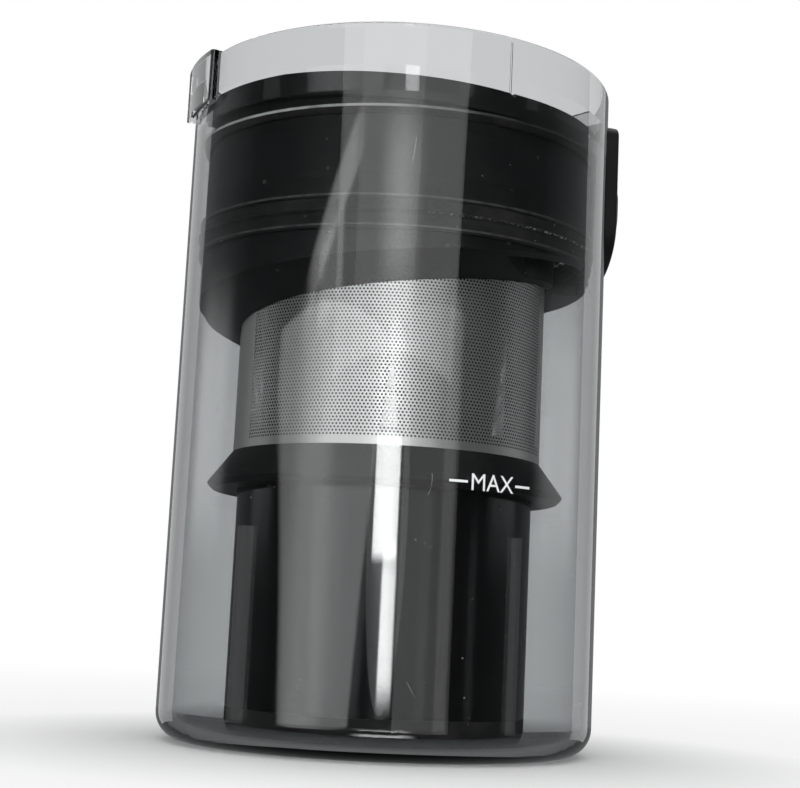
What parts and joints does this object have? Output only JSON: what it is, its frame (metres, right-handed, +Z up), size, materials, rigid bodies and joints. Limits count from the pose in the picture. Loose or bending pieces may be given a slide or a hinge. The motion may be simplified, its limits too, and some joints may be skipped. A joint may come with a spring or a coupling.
{
  "type": "cyclone dust bin",
  "caption": "Clear round dust cup with a lift-out black cyclone unit: a ribbed upper housing with a helical ramp, a perforated steel screen, a dust skirt and a fine dust tube.",
  "frame": {"origin": "centre of the cup's flat base, which is the surface it stands on", "axes": "+Z up along the cup's axis, +X straight out of the dirty-air inlet, +Y completes the right-handed frame"},
  "size_m": [0.1145, 0.11, 0.1708],
  "materials": {
    "clear_plastic": "clear, polished",
    "black_plastic": "satin black",
    "housing_plastic": "satin black with a fine grain",
    "tube_plastic": "glossy black",
    "seal_rubber": "matte black",
    "screen_steel": "perforated, satin",
    "screw_steel": "plain",
    "filter_paper": "pleated, off-white"
  },
  "bodies": {
    "cup": {"dust_cup": "clear_plastic", "inlet_collar": "black_plastic", "inlet_seal": "seal_rubber"},
    "cyclone_unit": {"upper_housing": "housing_plastic", "flange_seal": "seal_rubber", "wall_seal": "seal_rubber", "mesh_screen": "screen_steel", "screen_frame": "black_plastic", "dust_skirt": "black_plastic", "fine_dust_tube": "tube_plastic", "tube_seal": "seal_rubber", "cone_pack": "black_plastic", "cone_gasket": "seal_rubber", "outlet_plate": "black_plastic", "plate_screws": "screw_steel"},
    "pre_filter": {"filter_frame": "black_plastic", "filter_pleats": "filter_paper", "filter_seal": "seal_rubber"}
  },
  "joints": [
    {"name": "unit_lift", "type": "slide", "parent": "cup", "child": "cyclone_unit", "axis": [0, 0, 1], "range_m": [0, 0.17]},
    {"name": "filter_lift", "type": "slide", "parent": "cyclone_unit", "child": "pre_filter", "axis": [0, 0, 1], "range_m": [0, 0.03]}
  ]
}
